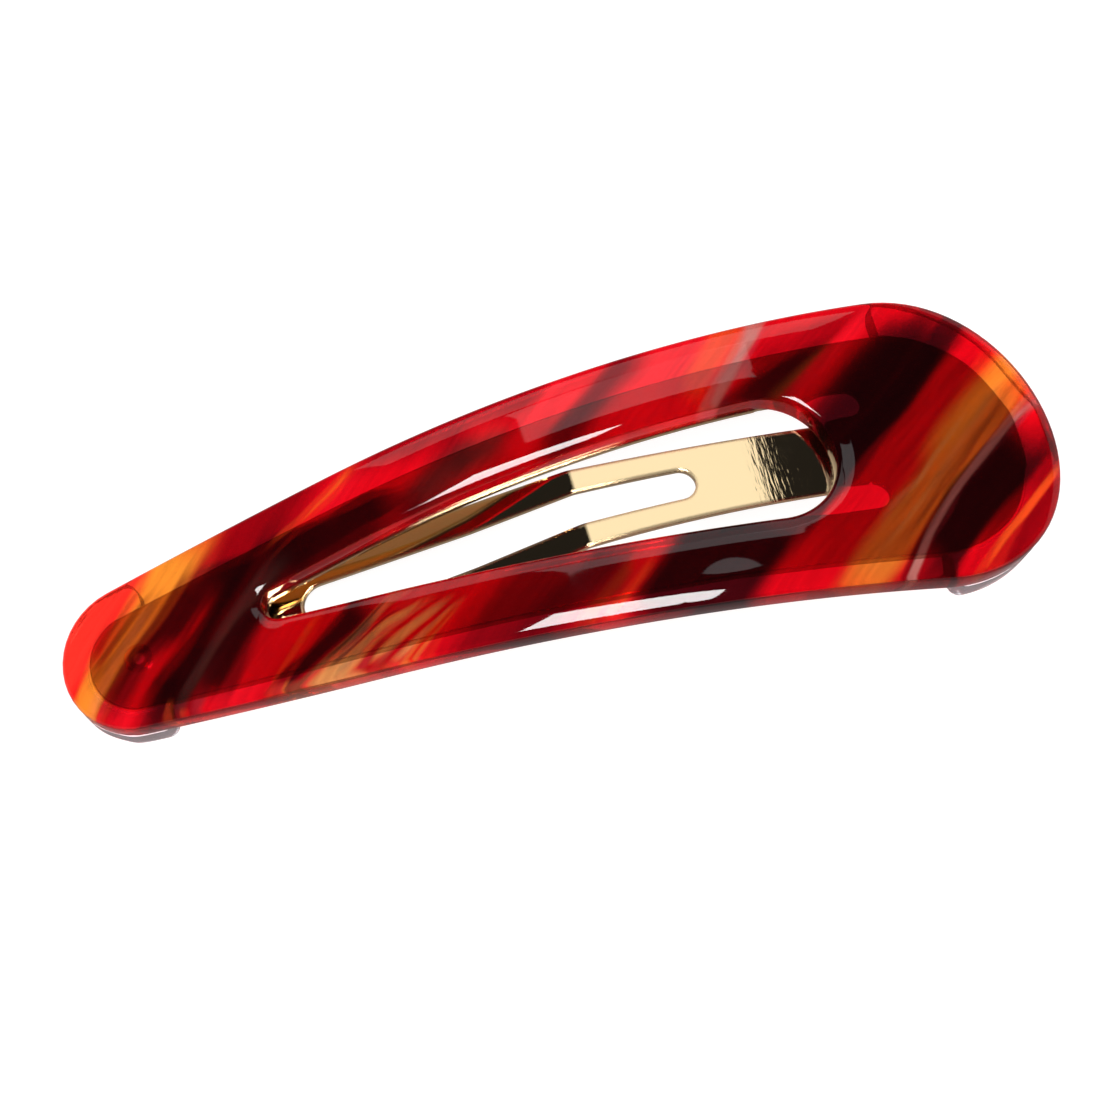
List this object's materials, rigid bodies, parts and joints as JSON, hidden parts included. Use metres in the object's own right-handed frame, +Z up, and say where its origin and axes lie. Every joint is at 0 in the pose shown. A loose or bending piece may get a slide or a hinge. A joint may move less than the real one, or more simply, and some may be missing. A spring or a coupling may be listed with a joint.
{
  "type": "snap hair clip",
  "caption": "Arched teardrop snap hair clip: a marbled translucent cover over a gilt sprung frame whose tongue snaps open and shut to grip hair, with a clear pad under each end.",
  "frame": {"origin": "on the resting surface, under the middle of the clip's length and width", "axes": "+X along the clip from its narrow end to its wide end, +Y across it, +Z up out of the cover's top"},
  "size_m": [0.0873, 0.027, 0.014],
  "materials": {
    "marbled_acetate": "polished translucent marbled acetate, deep red with black, crimson and amber",
    "gilt_steel": "polished pale gold plating on spring steel",
    "clear_pad": "clear moulded plastic"
  },
  "bodies": {
    "clip_body": {"acetate_cover": "marbled_acetate", "spring_frame": "gilt_steel", "eyelet": "gilt_steel", "narrow_end_pad": "clear_pad", "wide_end_pad": "clear_pad"},
    "tongue": {"spring_tongue": "gilt_steel"}
  },
  "joints": [
    {"name": "tongue_hinge", "type": "hinge", "parent": "clip_body", "child": "tongue", "pos_m": [0.02586, 0, 0.00817], "axis": [0, -1, 0], "range_deg": [0, 22]}
  ]
}
